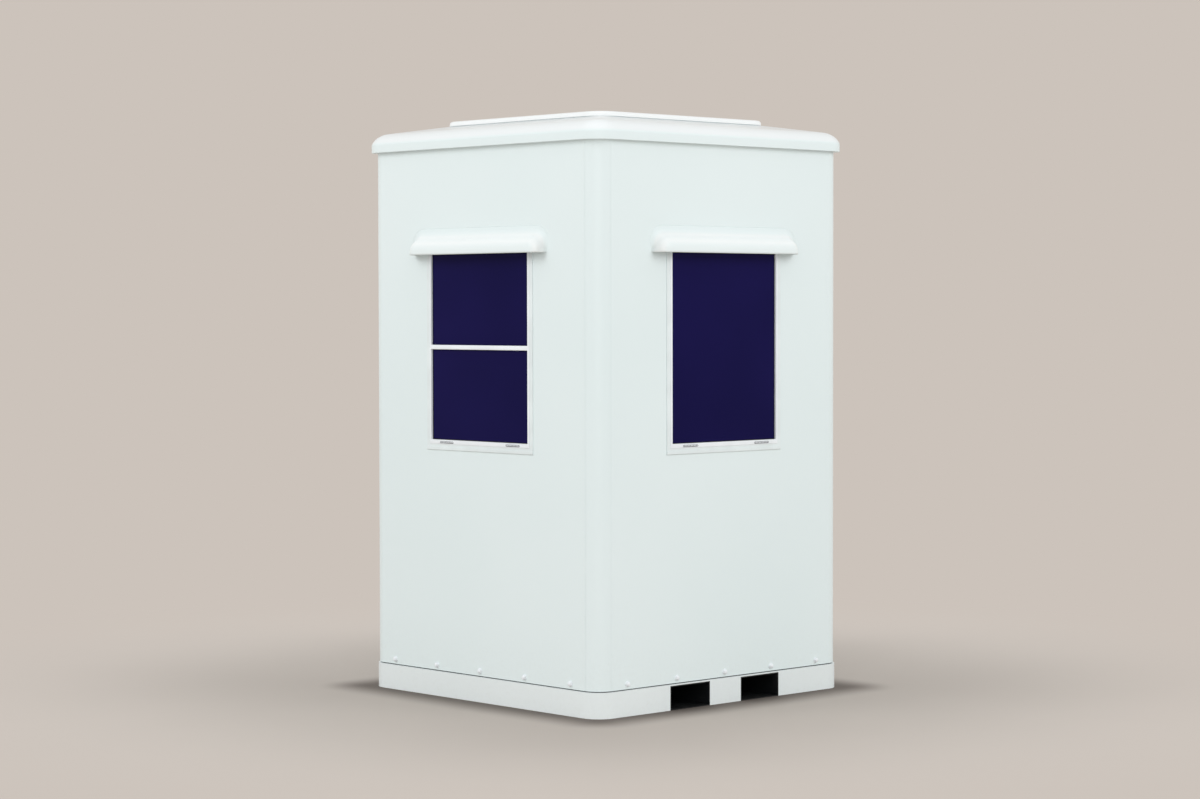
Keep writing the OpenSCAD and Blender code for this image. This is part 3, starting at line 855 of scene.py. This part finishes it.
def footprint_distance(t):
    """How far a place on the floor is from the base's outline."""
    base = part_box("base_front")[1].x
    steps = (
        ("MULTIPLY", (1.0, 1.0, 0.0)),
        ("ABSOLUTE", None),
        ("SUBTRACT", (base, base, 0.0)),
        ("MAXIMUM", (0.0, 0.0, 0.0)),
        ("LENGTH", None),
    )
    at = t.place
    for operation, value in steps:
        node = t.nodes.new("ShaderNodeVectorMath")
        node.operation = operation
        t.links.new(at, node.inputs[0])
        if value:
            node.inputs[1].default_value = value
        at = node.outputs["Value" if operation == "LENGTH" else "Vector"]
    return at


def pale_floor():
    """A pale floor's finish, with a painted shadow beside the base on top of the lamps' own, that
    turns into the backdrop's colour.
    """
    t = Tree("floor_pale")
    near, worn = (linear(tuple(c * share for c in PALE_FLOOR)) for share in FLOOR_TONES)
    plain = t.mix(t.noise(scale=2.0, detail=4.0), near, worn)
    away = footprint_distance(t)
    seen = seen_rays(t.nodes, t.links)
    # Painted shadow beside the base, seen only by camera, reflection and glass rays
    narrow, wide = (
        t.combine("MULTIPLY", t.ramp(away, (0.0, reach), (most, 0.0)), seen)
        for reach, most in (PAINTED_SHADOW_NARROW, PAINTED_SHADOW_WIDE)
    )
    dark = linear(FLOOR_PAINTED_SHADOW)
    t.link(t.mix(narrow, t.mix(wide, plain, dark), dark), "Base Color")
    t.set(Roughness=0.8, Specular_IOR_Level=0.1)
    length = t.nodes.new("ShaderNodeVectorMath")
    length.operation = "LENGTH"
    t.links.new(t.place, length.inputs[0])
    far = t.ramp(length.outputs["Value"], FLOOR_FADE)
    glow = t.nodes.new("ShaderNodeEmission")
    glow.inputs["Color"].default_value = linear(PALE_FLOOR)
    blend = t.nodes.new("ShaderNodeMixShader")
    t.links.new(t.combine("MULTIPLY", far, seen), blend.inputs["Fac"])
    t.links.new(t.shader.outputs["BSDF"], blend.inputs[1])
    t.links.new(glow.outputs["Emission"], blend.inputs[2])
    t.links.new(blend.outputs["Shader"], t.nodes["Material Output"].inputs["Surface"])
    return t.material


def floor():
    """The floor that the booth stands on."""
    bm = bmesh.new()
    bmesh.ops.create_grid(bm, x_segments=1, y_segments=1, size=FLOOR_SIZE)
    mesh = bpy.data.meshes.new("floor")
    bm.to_mesh(mesh)
    bm.free()
    mesh.materials.append(pale_floor())
    made = bpy.data.objects.new("floor", mesh)
    bpy.context.scene.collection.objects.link(made)


WORLD_LIGHT = 0.745
WORLD_COLOUR = (0.97, 0.99, 1.0, 1.0)


def world():
    """Even light from all round, with the floor's pale colour as what shows behind the booth."""
    made = bpy.data.worlds.new("studio")
    bpy.context.scene.world = made
    made.use_nodes = True
    tree = made.node_tree
    light = tree.nodes["Background"]
    light.inputs["Color"].default_value = WORLD_COLOUR
    light.inputs["Strength"].default_value = WORLD_LIGHT
    shown = tree.nodes.new("ShaderNodeBackground")
    shown.inputs["Color"].default_value = linear(PALE_FLOOR)
    blend = tree.nodes.new("ShaderNodeMixShader")
    tree.links.new(seen_rays(tree.nodes, tree.links), blend.inputs["Fac"])
    tree.links.new(light.outputs["Background"], blend.inputs[1])
    tree.links.new(shown.outputs["Background"], blend.inputs[2])
    tree.links.new(blend.outputs["Shader"], tree.nodes["World Output"].inputs["Surface"])


LIGHT_TARGET = (0.0, 0.0, 1.8)
LIGHT_SIZE = 4.0
# Two keys on the sides seen in the photograph, a light at the corner between them and two fills
# behind: each one's place and watts
LIGHTS = {
    "key_front": ((-1.7, -6.4, 5.4), 158.0),
    "key_right": ((6.4, 1.8, 4.8), 140.0),
    "corner": ((5.2, -5.2, 2.8), 75.0),
    "fill_left": ((-6.0, 1.0, 2.6), 70.0),
    "fill_back": ((-1.0, 6.0, 2.6), 70.0),
}


def lights():
    """Large soft lights round the booth, which don't show in its gloss."""
    for name, (place, power) in LIGHTS.items():
        lamp = bpy.data.lights.new(name, "AREA")
        lamp.shape = "DISK"
        lamp.size = LIGHT_SIZE
        lamp.energy = power
        made = bpy.data.objects.new(name, lamp)
        made.location = place
        aim = Vector(LIGHT_TARGET) - Vector(place)
        made.rotation_euler = aim.to_track_quat("-Z", "Y").to_euler()
        made.visible_glossy = False
        bpy.context.scene.collection.objects.link(made)


def camera():
    """The photograph's camera."""
    data = bpy.data.cameras.new("camera")
    data.sensor_fit = "HORIZONTAL"
    data.sensor_width = SENSOR_WIDTH_MM
    data.lens = CAMERA_LENS_MM
    made = bpy.data.objects.new("camera", data)
    turn = (
        Matrix.Rotation(math.radians(CAMERA_YAW), 4, "Z")
        @ Matrix.Rotation(math.radians(90 + CAMERA_PITCH), 4, "X")
        @ Matrix.Rotation(math.radians(CAMERA_ROLL), 4, "Z")
    )
    made.matrix_world = Matrix.Translation(CAMERA_PLACE) @ turn
    bpy.context.scene.collection.objects.link(made)
    bpy.context.scene.camera = made


dress_cad()
soften(["front_window_frame", "right_window_frame", "left_window_frame", "door_frame"], FRAME_EDGE)
soften(["front_sill", "right_sill", "left_sill", "door_threshold"], TRIM_EDGE)
soften(["door_leaf", "door_hinges", "door_handle"], TRIM_EDGE)

roof()
for side, turn in (*WINDOW_SIDES, ("door", BACK)):
    hood(side, turn)

low, high = glazing("front", FRONT, ["front_glass_upper", "front_glass_lower"], GLASS_BITE)
meeting_rail(low, high)
weeps("front", FRONT, low)
for side, turn in (("right", RIGHT), ("left", LEFT)):
    low, high = glazing(side, turn, [side + "_glass"], GLASS_BITE)
    weeps(side, turn, low)
glazing("door", BACK, ["door_glass"], DOOR_BITE)

for side, turn in WINDOW_SIDES:
    bolts(side, turn, BOLT_ROW)
bolts("back", BACK, BOLTS_BESIDE_DOOR)
for side, turn in (*WINDOW_SIDES, ("back", BACK)):
    mould_lines(side, turn)
door_fittings()

floor()
world()
lights()
camera()
bpy.context.scene.view_settings.view_transform = "Standard"
